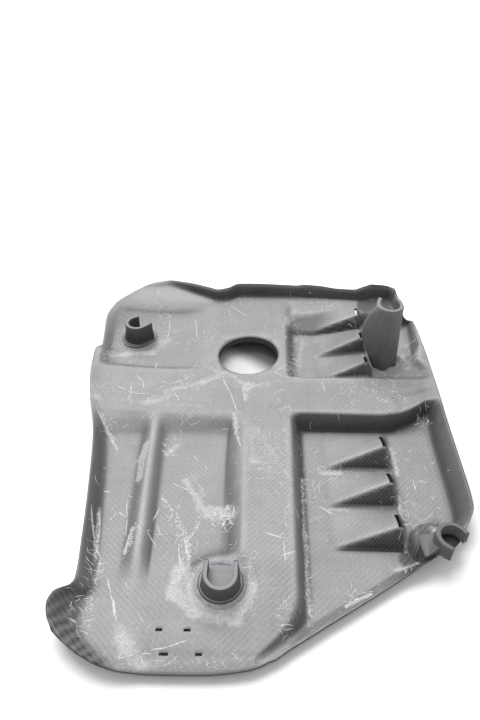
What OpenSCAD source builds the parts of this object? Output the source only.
// Engine cover, seen from its engine side and lying on its glossy outer face.
// X runs to the right, Y away from the front rim, Z up out of the inner face.
// The sheet is one moulded skin; the four mount sockets are glued on to it.

/* [Sheet] */
// thickness of the moulded sheet
sheet_t = 2.5; // [1.5:0.1:4]
// most that the sheet may measure straight down through a steep wall
sheet_max = 5; // [3:0.5:8]
// height of the cross-shaped top level on the right half
top_z = 22; // [16:1:30]
// how much that level falls towards the left for each millimetre
crown = 0.052; // [0:0.001:0.08]
// depth of the left channels below the top level
channel_d = 10.5; // [6:0.5:14]

/* [Cross] */
// left edge of the stem
stem_left = -15; // [-25:1:-5]
// right edge of the stem
stem_right = 34; // [25:1:40]
// run of the steep wall right of the stem
stem_run = 10; // [5:1:15]
// near edge of the band at the stem
band_near = 13; // [5:1:20]
// far edge of the band at the stem
band_far = 72; // [60:1:80]
// where the left channels begin to climb to the near plateau
plateau_y = -135; // [-170:1:-120]
// where they have reached it
plateau_end = -222; // [-235:1:-190]

/* [Rib] */
// rib in the left channels, position at the band
rib_x = -106; // [-115:1:-95]
// height of the rib
rib_h = 8; // [4:0.5:11]

/* [Gills] */
// height of the three near gills above their recess
gill_h = 18.5; // [10:0.5:22]
// height of the three far gills above their floor
far_gill_h = 15.8; // [8:0.2:20]
// where every gill starts from nothing
gill_x = 66; // [58:1:75]
// where the near gills are highest, at their slots
slot_x = 121.5; // [115:0.5:124]
// from the far gills' slots to the middle of the tall socket
far_slot_gap = 23.5; // [21:0.5:28]
// width of the slots
slot_w = 3; // [2:0.5:5]
// floor of the right recess
recess_z = 2.5; // [2.5:0.5:6]

/* [Oil filler hole] */
// diameter of the hole
hole_d = 68.5; // [60:0.5:80]
// hole centre from the left
hole_x = -12.5; // [-20:0.5:0]
// hole centre from the near side
hole_y = 110.5; // [100:0.5:120]
// depth of the lip round the hole
lip_h = 6; // [2:1:10]

/* [Flanges] */
// width of the left flange
left_w = 11; // [8:1:16]
// width of the right flange
right_w = 13; // [8:1:18]
// width of the near flange
near_w = 12; // [8:1:16]
// width of the far flange
far_w = 5; // [4:1:10]

/* [Sockets] */
// outside diameter of the sockets
socket_od = 29.5; // [24:0.5:32]
// inside diameter, for the ball of the stud
socket_id = 19; // [14:0.5:22]
// how far the legs run past the middle
socket_leg = 12.5; // [8:0.5:16]
// the same for the shorter legs of the corner socket
corner_leg = 7; // [4:0.5:12]
// how far a round foot stands out past its socket
foot_rim = 3.5; // [2:0.5:6]
// height of the left socket
left_h = 21; // [12:1:30]
// height of the tall socket
tall_h = 71; // [50:1:80]
// height of the front socket
front_h = 11; // [8:1:20]
// height of the corner socket
corner_h = 13; // [8:1:20]
// thickness of the foot that a socket stands on
foot_t = 2.5; // [1.5:0.5:4]
// thickness of the glue under the foot
glue_t = 1; // [0.5:0.5:3]

/* [Front lobe] */
// height that the upturned front left corner reaches
lobe_z = 21; // [12:0.5:24]
// radius of the arc along its foot
lobe_r = 34.5; // [25:0.5:45]

/* [Hidden] */
$fn = 64;
// middle of the outline, which is put on the origin
mid_x = -2;
mid_y = 8.8;

// rim of the sheet as points across, away and up
near_rim = [
    [-147, -220, 21], [-139, -226, 19.5], [-122, -236, 18], [-108, -241, 15],
    [-93, -243, 12], [-75, -243, 9], [-35, -242, 9], [-3, -238, 10],
    [30, -220, 10], [58, -202, 10], [94, -179, 10], [117, -164, 11],
    [129, -157, 14], [140, -151, 19], [148, -146, 19], [177, -121, 19]
];
right_rim = [
    [177, -121, 19], [182, -114, 22], [189, -98, 25], [190, -78, 26],
    [190, -5, 26], [191, 42, 25], [191, 92, 25], [190, 131, 26],
    [186, 172, 28], [179, 177, 37], [170, 195, 42], [167, 214, 45]
];
far_rim = [
    [-143, 258, 23], [-130, 261, 25], [-101, 248, 31.5], [-77, 234, 36],
    [-66, 228, 37], [-54, 223, 37], [-42, 224, 39], [-28, 230, 41],
    [24, 227, 42], [71, 223, 41.5], [99, 219, 39.5], [117, 218, 39.5],
    [131, 219, 43.5], [146, 221, 47.5], [160, 219, 46.5], [167, 214, 45]
];
left_rim = [
    [-147, -220, 21], [-154, -208, 23], [-156, -199, 23], [-153, -190, 23],
    [-143, -183, 20], [-141, -178, 19.5], [-145, -139, 19.5], [-154, -77, 18],
    [-165, -15, 17], [-183, 45, 14], [-192, 89, 13.5], [-195, 125, 13],
    [-188.5, 130, 14], [-191, 152, 14], [-195, 190, 15], [-189, 216, 16],
    [-174, 235, 18], [-156, 251, 21], [-143, 258, 23]
];

// left seat, tall seat, front seat and corner seat
left_seat = [-149, 155, 5];
tall_seat = [140, 110.5, 18];
front_seat = [-26, -176, 16];
corner_seat = [150, -128, 19];
corner_axis = [160.5, -136];
far_slot_x = tall_seat[0] - far_slot_gap;
lobe_at = [-95, -200];
// the right edge stays this far from the tall seat
edge_room = 51;

function along(rim, k, c) = [for (p = rim) [p[k], p[c]]];
near_y = along(near_rim, 0, 1);
near_z = along(near_rim, 0, 2);
far_y = along(far_rim, 0, 1);
far_z = along(far_rim, 0, 2);
left_x = along(left_rim, 1, 0);
left_z = along(left_rim, 1, 2);
function swell(y) = (tall_seat[0] + edge_room - 191) * min(1, max(0, (y + 5) / 60))
    * min(1, max(0, (214 - y) / 42));
right_x = [for (p = right_rim) [p[1], p[0] + swell(p[1])]];
right_z = along(right_rim, 1, 2);

// straight climb from nought at a to one at b
function ramp(a, b, v) = min(1, max(0, (v - a) / (b - a)));
// the same climb, eased at both ends
function ease(a, b, v) = let (s = ramp(a, b, v)) s * s * (3 - 2 * s);
function mix(a, b, s) = a + (b - a) * s;

// top level of the cross, and the two long edges of its band
function top(x) = top_z - crown * max(0, stem_right - x);
function band_n(x) = band_near + 0.105 * max(0, -29 - x) + 25 * pow(ramp(120, 176, x), 2);
function band_f(x) = band_far + 0.11 * max(0, 35 - x);
function rib_line(y) = rib_x + 0.056 * max(0, 16 - y);

// the level sinks towards the near rim
function near_low(x) = let (z = lookup(x, near_z) + 1.5) x < 0 ? min(z, 11) : z;
function plateau(x, y) = mix(top(x), near_low(x), ramp(-150, lookup(x, near_y), y));

// left channels with their rib, walls left of the stem and up to the band
function left_floor(x, y) =
    let (base = max(recess_z, top(x) - channel_d))
    let (d = x - rib_line(y))
    let (side = d < 0 ? 1 - ramp(2.5, 13, -d) : 1 - ramp(2.5, 9, d))
    base + rib_h * side * ramp(-188, -150, y);
function left_wall(x, y) =
    let (foot = stem_left - 15 + 0.114 * min(95, max(0, -41 - y)))
    let (stem = ramp(foot, stem_left, x))
    let (band = ramp(-10, band_n(x), y))
    let (near = ease(plateau_y, plateau_end, y))
    1 - (1 - stem) * (1 - band) * (1 - near);

// a gill's front wall up to its crest, then its back, which falls slowly at first
function gill(y, back, crest, foot) =
    y > crest ? 1 - pow(ramp(crest, back, y), 1.5) : ramp(foot, crest, y);

// gill share at x: nothing at its point, full at the slot, gone behind it
function gill_side(x, slot, run) =
    ramp(gill_x, slot, x) * (1 - ramp(slot + slot_w, slot + slot_w + run, x));
function near_gills(x, y) =
    let (g = ramp(gill_x, slot_x, x) * 14)
    gill_h * gill_side(x, slot_x, 6.5) * (
        y > -44 ? gill(y, 5, -44 + g, -44) :
        y > -88 ? gill(y, -44, -88 + g, -88) :
        gill(y, -88, -133 + g * 0.8, -133));

// the right recess, its wall under the band and the wall right of the stem
function stem_curl(y) = 0.0127 * pow(min(50, max(0, -180 - y)), 2);
function right_wall(x, y) =
    let (edge = stem_right - stem_curl(y))
    let (stem = 1 - ramp(edge, edge + stem_run, x))
    let (band = ramp(band_n(x) - 8, band_n(x), y))
    1 - (1 - stem) * (1 - band);

function south(x, y) =
    let (p = plateau(x, y))
    let (low = mix(left_floor(x, y), p, left_wall(x, y)))
    let (wall = right_wall(x, y))
    let (right = mix(recess_z + near_gills(x, y), p, wall))
    low + right - p;

// ledge along the far flange
function ledge(x) = lookup(x, [[-130, 20], [-93, 22], [-14, 25], [38, 28], [100, 31]]);
function pan(x) = mix(left_seat[2], top(x), ease(-125, -50, x));
function far_left(x, y) =
    let (band = ramp(band_f(x) + 8, band_f(x), y))
    let (base = mix(pan(x), top(x), band))
    let (y0 = mix(180, 178, ramp(-90, -50, x)))
    let (y1 = mix(240, 204, ramp(-90, -50, x)))
    mix(base, ledge(x), ramp(y0, y1, y));

// floor of the far gills, with the step up to the ledge behind them
function far_floor(x) = mix(11, tall_seat[2], ramp(gill_x, far_slot_x + 8, x));
function far_foot(x) = mix(148, 168, ramp(gill_x, far_slot_x, x));
function far_gills(x, y) =
    let (g = ramp(gill_x, far_slot_x, x))
    let (side = gill_side(x, far_slot_x, 5))
    far_gill_h * side * (
        y > far_foot(x) ? 0 :
        y > 119 ? gill(y, far_foot(x), 119 + 9.5 * g, 119) :
        gill(y, 119, 74 + 10 * g, 74));
function far_right(x, y) =
    let (a = far_foot(x))
    let (u = far_floor(x))
    let (crest = (34 - ledge(x)) * gill_side(x, far_slot_x, 5) * (1 - ramp(177, 200, y)))
    let (step = ramp(a, mix(179, 177, ramp(gill_x, far_slot_x, x)), y))
    let (base = mix(u, ledge(x) + crest, step))
    let (band = ramp(75, 71, y))
    mix(base + far_gills(x, y), top(x), band);
function north(x, y) =
    mix(far_left(x, y), far_right(x, y), ramp(31, 40, x));

// flat seats pressed into the skin for the glued sockets
function seat(z, d, r, level) = mix(level, z, ramp(r, r + 8, d));
function seats(x, y, z) =
    let (a = seat(z, max(abs(x - front_seat[0]), abs(y - front_seat[1])), 25,
        front_seat[2]))
    let (b = seat(a, norm([x - left_seat[0], y - left_seat[1]]), 30, left_seat[2]))
    seat(b, norm([x - corner_seat[0], y - corner_seat[1]]), 15, corner_seat[2]);

// the front left corner turns up from an arc at its foot to the rim
function lobe(x, y, z) =
    let (out = max(0, norm([x - lobe_at[0], y - lobe_at[1]]) - lobe_r))
    let (in = max(0, min(y - lookup(x, near_y), x - lookup(y, left_x))))
    let (here = ease(-172, -187, y) * ease(-92, -106, x))
    mix(z, max(z, lobe_z), here * pow(out / (out + in + 0.5), 1.1));

// the side flanges have a level step beside the sockets
function skin(x, y) =
    let (m = (band_n(x) + band_f(x)) / 2)
    let (z0 = lobe(x, y, seats(x, y, y < m ? south(x, y) : north(x, y))))
    let (w = near_w * mix(0.6, 1, ramp(-60, 20, x)))
    let (z1 = mix(z0, lookup(x, near_z), 1 - ramp(0, w, y - lookup(x, near_y))))
    let (z2 = mix(z1, lookup(x, far_z), 1 - ramp(0, far_w, lookup(x, far_y) - y)))
    let (l = left_w / 2 * ramp(88, 100, y) * ramp(129, 126, y))
    let (z3 = mix(z2, lookup(y, left_z), 1 - ramp(l, left_w, x - lookup(y, left_x))))
    let (r = right_w / 2 * ramp(85, 104, y) * ramp(177, 172, y))
    mix(z3, lookup(y, right_z), 1 - ramp(r, right_w, lookup(y, right_x) - x));

// lines across the sheet at the front, along the stem and past the hole
near_cols = [-77, -72.5, -66, -60.5, -51, -45, -41, -35, -26, -15, -2, 12, 24, 35, 44];
stem_cols = [-84, -74, -66, -58, -50, -44, -38, -33, -28, -15, -4, 8, 20, 34, 44];
hole_ring = [for (k = [-4 : 4]) k * hole_d / 8];
hole_cols = [for (d = concat([-71.5, -62, -54, -45], hole_ring, [43.5, 52.5])) hole_x + d];
slot_cols = [121.5, 124.5, 131, 139, 147, 155, 163, 170];
seat_cols = [for (d = [-far_slot_gap, slot_w - far_slot_gap, slot_w + 5 - far_slot_gap,
    -8, -1, 6, 13, 23]) tall_seat[0] + d];
gill_shares = [-0.22, 0, 0.24, 0.48, 0.72, 0.88];
cols = 41;

function col(i, y) =
    let (l = lookup(y, left_x))
    let (r = lookup(y, right_x))
    let (b = rib_line(y))
    i < 3 ? l + left_w * i / 2 :
    i < 5 ? mix(l + left_w, b - 13, (i - 2) / 3) :
    i < 9 ? b + [-13, -2.5, 2.5, 9][i - 5] :
    i < 24 ? lookup(y, [[-205, near_cols[i - 9]], [-150, stem_cols[i - 9]],
        [-10, stem_cols[i - 9]], [72, hole_cols[i - 9]]])
        - stem_curl(y) * ramp(17, 22, i) :
    i < 30 ? gill_x + gill_shares[i - 24] * (mix(slot_x, far_slot_x, ramp(-8, 80, y)) - gill_x)
        - stem_curl(y) * ramp(30, 23, i) :
    i < 33 ? lookup(y, [[-8, slot_cols[i - 30]], [80, seat_cols[i - 30]]]) :
    i < 38 ? 131 + (lookup(y, [[-8, slot_cols[i - 30]], [80, seat_cols[i - 30]]]) - 131)
        * min(1, (r - right_w - 131) / 46) :
    r - right_w * (40 - i) / 2;

// lines away from the near rim, through every foot, crest and slot end
near_rows = [-243, -238, -231, -229, -222, -214, -212, -204, -195, -185, -176, -167,
    -157, -146, -133, -121.5, -112, -103, -96, -88, -74, -65, -56, -50, -44, -30,
    -18.5, -8, -2];
pan_rows = [84, 97.3, 105.3, 112, 118, 125, 132, 140, 148, 156, 164, 172, 180, 190,
    200, 211];
rib_rows = [76, 84.1, 92.1, 99, 107, 115, 122, 130, 138, 147, 155, 163, 171, 180, 191,
    203];
hole_rows = [for (d = concat([-42.5], hole_ring, [42.5, 51, 59, 69, 80, 93])) hole_y + d];
gill_rows = [75, 84, 91, 98, 105, 112, 119, 128.5, 136, 144, 152, 160, 168, 177, 191,
    202];
rows = 53;

function row(j, x) =
    let (n = lookup(x, near_y))
    let (f = lookup(x, far_y))
    let (hold = mix(-133, -88, ramp(130, 160, x)))
    j < 29 ? (near_rows[j] < hold
        ? n + (near_rows[j] + 243) * (hold - n) / (hold + 243) : near_rows[j]) :
    j == 29 ? band_n(x) - 8 :
    j == 30 ? band_n(x) :
    j == 31 ? (band_n(x) + band_f(x)) / 2 - 2 :
    j == 32 ? band_f(x) - lookup(x, [[-195, 24], [-60, 18], [25, 10], [40, 1]]) :
    j < 49 ? lookup(x, [[-195, pan_rows[j - 33]], [-75, rib_rows[j - 33]],
        [-57, hole_rows[j - 33]], [26, hole_rows[j - 33]], [42, gill_rows[j - 33]]]) :
    j == 49 ? f - far_w - 6 :
    f - far_w * (52 - j) / 2;

// a crossing of two lines, found by going to and fro between them
function cross(i, j, x, y, n) = n == 0 ? [x, y] : cross(i, j, col(i, y), row(j, x), n - 1);

// the square of lines round the hole is drawn in to a circle
function round_off(p) =
    let (d = [p[0] - hole_x, p[1] - hole_y])
    let (c = max(abs(d[0]), abs(d[1])))
    let (w = 1 - ramp(hole_d / 2, hole_d / 2 + 6.5, c))
    c < 1 ? p : [hole_x, hole_y] + d * (1 + (c / norm(d) - 1) * w);

function node_at(i, j) =
    let (p = cross(i, j, (i - 20) * 9.5, (j - 27) * 9.3, 14))
    round_off(p);

// upper point and the lower point under it
function depth(x, y) =
    let (gx = (skin(x + 1.5, y) - skin(x - 1.5, y)) / 3)
    let (gy = (skin(x, y + 1.5) - skin(x, y - 1.5)) / 3)
    min(sheet_max, sheet_t * sqrt(1 + gx * gx + gy * gy));
function lip(x, y) =
    let (r = norm([x - hole_x, y - hole_y]))
    lip_h * (1 - ramp(hole_d / 2 + 0.2, hole_d / 2 + 4, r));

plan = [for (j = [0 : rows - 1]) for (i = [0 : cols - 1]) node_at(i, j)];
upper = [for (p = plan) [p[0], p[1], skin(p[0], p[1])]];
lower = [for (p = upper)
    [p[0], p[1], max(0, p[2] - depth(p[0], p[1]) - lip(p[0], p[1]))]];

// cells left open: hole, six long slots and four small ones
function open_cell(i, j) =
    (i > 12 && i < 21 && j > 33 && j < 42) ||
    (i == 30 && (j == 15 || j == 16 || j == 20 || j == 21 || j == 25 || j == 26
        || j == 34 || j == 35 || j == 40 || j == 41 || j == 46)) ||
    (j == 5 && (i == 10 || i == 13)) || (j == 2 && (i == 11 || i == 15));
function kept(i, j) =
    i >= 0 && j >= 0 && i < cols - 1 && j < rows - 1 && !open_cell(i, j);

function cell(i, j) =
    let (n = rows * cols)
    let (a = j * cols + i)
    let (b = a + 1)
    let (c = b + cols)
    let (d = a + cols)
    concat(
        [[a, d, c], [a, c, b], [a + n, c + n, d + n], [a + n, b + n, c + n]],
        kept(i - 1, j) ? [] : [[d, a, a + n], [d, a + n, d + n]],
        kept(i + 1, j) ? [] : [[b, c, c + n], [b, c + n, b + n]],
        kept(i, j - 1) ? [] : [[a, b, b + n], [a, b + n, a + n]],
        kept(i, j + 1) ? [] : [[c, d, d + n], [c, d + n, c + n]]);
facets = [for (j = [0 : rows - 2]) for (i = [0 : cols - 2]) if (kept(i, j))
    for (t = cell(i, j)) t];

// moves from the drawing's zero to the middle of the outline
module placed(at) {
    translate([at[0] - mid_x, at[1] - mid_y, at[2]])
        children();
}

module shell() {
    color([0.42, 0.41, 0.42])
        placed([0, 0, 0])
            polyhedron(points = concat(upper, lower), faces = facets, convexity = 12);
}

// U-shaped wall, open towards +Y
module u_wall(h, leg = socket_leg) {
    linear_extrude(h)
        difference() {
            union() {
                intersection() {
                    circle(d = socket_od);
                    translate([-socket_od / 2, -socket_od / 2])
                        square([socket_od, socket_od / 2 + leg]);
                }
                translate([-socket_od / 2, 0])
                    square([socket_od, leg]);
            }
            circle(d = socket_id);
            translate([-socket_id / 2, 0])
                square([socket_id, leg + 1]);
        }
}

module socket_left() {
    color([0.45, 0.45, 0.46])
        placed([left_seat[0], left_seat[1], left_seat[2] + glue_t])
            rotate(-50) {
                cylinder(r = socket_od / 2 + foot_rim, h = foot_t);
                translate([0, 0, foot_t])
                    u_wall(left_h);
            }
}

// tall socket with the fin that runs down its left side
module socket_tall() {
    color([0.45, 0.45, 0.46])
        placed([tall_seat[0], tall_seat[1], tall_seat[2] + glue_t]) {
            u_wall(tall_h);
            translate([-socket_od / 2 + 1, 1.5, 0])
                rotate([90, 0, 0])
                    linear_extrude(3)
                        polygon([[0, 4], [-7, 22], [-11, 42], [-5, 60], [0, tall_h - 2]]);
        }
}

// round plate that is cut straight just past the legs
module foot_plate(r, h) {
    intersection() {
        cylinder(r = r, h = h);
        translate([-r, -r, 0])
            cube([2 * r, r + socket_leg + 2.5, h]);
    }
}

// front socket on a round foot that is cut straight at the far side
module socket_front() {
    color([0.45, 0.45, 0.46])
        placed([front_seat[0], front_seat[1], front_seat[2] + glue_t]) {
            foot_plate(socket_od / 2 + foot_rim, foot_t);
            translate([0, 0, foot_t])
                u_wall(front_h);
        }
}

// corner socket, open outwards, on a broad foot that reaches back on to the sheet
module socket_corner() {
    color([0.45, 0.45, 0.46])
        placed([corner_axis[0], corner_axis[1], corner_seat[2] + glue_t]) {
            rotate(-135)
                u_wall(corner_h, corner_leg);
            difference() {
                hull() {
                    translate([-24, 6, 0])
                        cylinder(r = 2, h = foot_t);
                    translate([-21, -10, 0])
                        cylinder(r = 2, h = foot_t);
                    translate([-11, -6, 0])
                        cylinder(r = 2, h = foot_t + 6);
                    translate([-6, 10, 0])
                        cylinder(r = 2, h = foot_t + 6);
                }
                translate([0, 0, -1])
                    cylinder(d = (socket_od + socket_id) / 2, h = corner_h);
            }
        }
}

module glue_left() {
    color([0.62, 0.61, 0.6])
        placed(left_seat)
            cylinder(r = socket_od / 2 + foot_rim + 1, h = glue_t);
}

module glue_tall() {
    color([0.62, 0.61, 0.6])
        placed(tall_seat)
            cylinder(r = socket_od / 2 + 0.2, h = glue_t);
}

module glue_front() {
    color([0.62, 0.61, 0.6])
        placed(front_seat)
            foot_plate(socket_od / 2 + foot_rim + 0.8, glue_t);
}

module glue_corner() {
    color([0.62, 0.61, 0.6])
        placed(corner_seat)
            cylinder(r = 9, h = glue_t);
}

shell();
socket_left();
socket_tall();
socket_front();
socket_corner();
glue_left();
glue_tall();
glue_front();
glue_corner();
